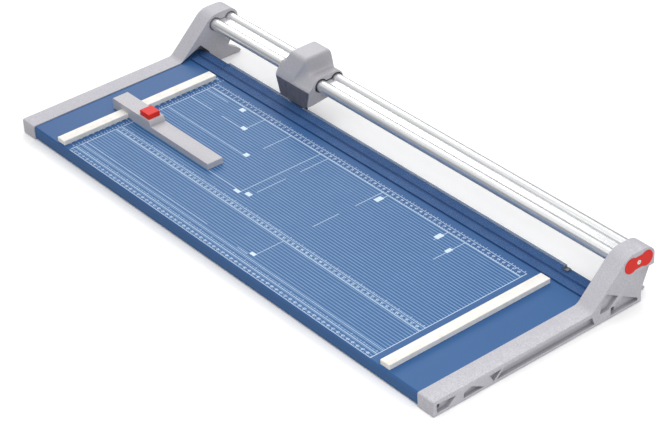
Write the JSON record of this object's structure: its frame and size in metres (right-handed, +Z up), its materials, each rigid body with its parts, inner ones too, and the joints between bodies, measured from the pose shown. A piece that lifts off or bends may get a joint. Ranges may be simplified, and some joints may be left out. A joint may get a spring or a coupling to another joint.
{
  "type": "rotary paper trimmer",
  "caption": "Flatbed rotary trimmer: blue table between moulded end brackets, sliding cutting head on a two-lobed rail, spring clamp strip and sliding backstop with a push button.",
  "frame": {"origin": "on the resting plane under the rubber feet, below the middle of the trimmer's outer box", "axes": "+X along the guide rail, towards the right-hand end seen from the front edge; +Y from the front edge towards the rail; +Z up"},
  "size_m": [0.94, 0.388, 0.105],
  "materials": {
    "bracket_grey": "light grey moulding with a fine even grain",
    "moulded_grey": "fine grained light grey moulding",
    "blue_sheet": "blue powder coat with a pale printed grid and rulers",
    "satin_aluminium": "satin anodised extrusion",
    "white_bar": "pale coated straight edge",
    "steel": "plain zinc-plated steel",
    "blade_steel": "ground and hardened steel",
    "dark_steel": "blackened steel",
    "red_plastic": "bright red moulding",
    "black_plastic": "matt black moulding",
    "rubber": "matt black rubber",
    "clear_strip": "clear slightly blue extrusion",
    "dark_grey": "dark grey moulding"
  },
  "bodies": {
    "frame": {"table_top": "blue_sheet", "left_end_bracket": "bracket_grey", "right_end_bracket": "bracket_grey", "guide_rail": "satin_aluminium", "left_rail_plate": "red_plastic", "right_rail_plate": "red_plastic", "left_rail_screw": "steel", "right_rail_screw": "steel", "left_bracket_screw_1": "steel", "left_bracket_screw_2": "steel", "left_bracket_screw_3": "steel", "right_bracket_screw_1": "steel", "right_bracket_screw_2": "steel", "right_bracket_screw_3": "steel", "left_front_rubber_foot": "rubber", "left_rear_rubber_foot": "rubber", "right_front_rubber_foot": "rubber", "right_rear_rubber_foot": "rubber", "lower_blade": "dark_steel", "lower_blade_screw_1": "steel", "lower_blade_screw_2": "steel", "lower_blade_screw_3": "steel", "lower_blade_screw_4": "steel", "left_scale_bar": "white_bar", "right_scale_bar": "white_bar", "left_scale_screw_front": "steel", "left_scale_screw_rear": "steel", "right_scale_screw_front": "steel", "right_scale_screw_rear": "steel", "left_clamp_spring": "steel", "right_clamp_spring": "steel"},
    "clamp": {"clamp_strip": "clear_strip", "clamp_end_clip": "steel"},
    "carriage": {"carriage_housing": "moulded_grey", "left_glide_bushing": "black_plastic", "right_glide_bushing": "black_plastic", "wheel_spring_washer": "steel", "wheel_axle": "steel", "blade_holder": "dark_steel", "blade_holder_screw_1": "steel", "blade_holder_screw_2": "steel", "blade_cover": "dark_grey", "front_guard": "dark_grey", "shoe_spring": "steel"},
    "wheel": {"cutting_wheel": "blade_steel", "wheel_hub": "dark_grey"},
    "shoe": {"presser_shoe": "black_plastic"},
    "backstop": {"backstop_body": "moulded_grey", "button_spring": "steel"},
    "button": {"lock_button": "red_plastic"},
    "pawl": {"lock_pawl": "dark_steel"}
  },
  "joints": [
    {"name": "carriage_slide", "type": "slide", "parent": "frame", "child": "carriage", "axis": [1, 0, 0], "range_m": [-0.178, 0.61]},
    {"name": "blade_spin", "type": "hinge", "parent": "carriage", "child": "wheel", "pos_m": [-0.2162, 0.1327, 0.041], "axis": [0, 1, 0], "continuous": true},
    {"name": "clamp_lift", "type": "slide", "parent": "frame", "child": "clamp", "axis": [0, 0, 1], "range_m": [0, 0.002], "deforming": ["left_clamp_spring", "right_clamp_spring"]},
    {"name": "shoe_lift", "type": "slide", "parent": "carriage", "child": "shoe", "axis": [0, 0, 1], "range_m": [0, 0.002], "deforming": ["shoe_spring"]},
    {"name": "backstop_slide", "type": "slide", "parent": "frame", "child": "backstop", "axis": [0, 1, 0], "range_m": [-0.114, 0.137]},
    {"name": "button_press", "type": "slide", "parent": "backstop", "child": "button", "axis": [0, 0, 1], "range_m": [-0.003, 0], "stiffness_N_per_m": 800, "springref_m": 0.001, "deforming": ["button_spring"]},
    {"name": "pawl_retract", "type": "slide", "parent": "backstop", "child": "pawl", "axis": [1, 0, 0], "range_m": [0, 0.001]}
  ],
  "couplings": [
    {"joint": "blade_spin", "follows": "carriage_slide", "rad_per_m": 43.478},
    {"joint": "shoe_lift", "follows": "clamp_lift", "ratio": 1},
    {"joint": "pawl_retract", "follows": "button_press", "ratio": -0.33333}
  ]
}
